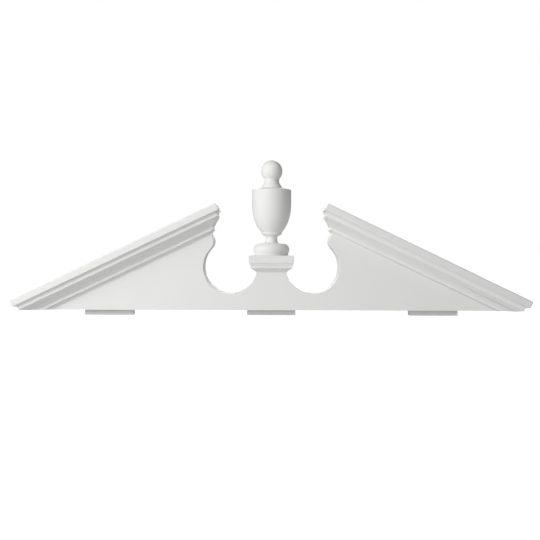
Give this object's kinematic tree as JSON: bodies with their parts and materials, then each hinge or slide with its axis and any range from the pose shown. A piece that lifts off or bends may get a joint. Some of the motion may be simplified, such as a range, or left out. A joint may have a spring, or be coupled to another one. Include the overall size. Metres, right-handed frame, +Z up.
{
  "type": "broken pediment",
  "caption": "Broken pediment for a door head: flat board with raking cornices, round cut-outs, capped pedestal, turned urn and base blocks.",
  "frame": {"origin": "bottom centre of the whole part: midway between the outer tips, midway from the wall face to the fascia, on the undersides of the blocks", "axes": "+X along the base to the right as seen from the front, +Y into the wall, +Z up"},
  "size_m": [1.83, 0.173, 0.5573],
  "materials": {
    "primed_white": "matt white primer on moulded polyurethane",
    "block_grey": "matt grey, sawn and primed"
  },
  "bodies": {
    "root": {"pediment": "primed_white", "urn": "primed_white", "left_block": "block_grey", "centre_block": "block_grey", "right_block": "block_grey"}
  },
  "joints": []
}
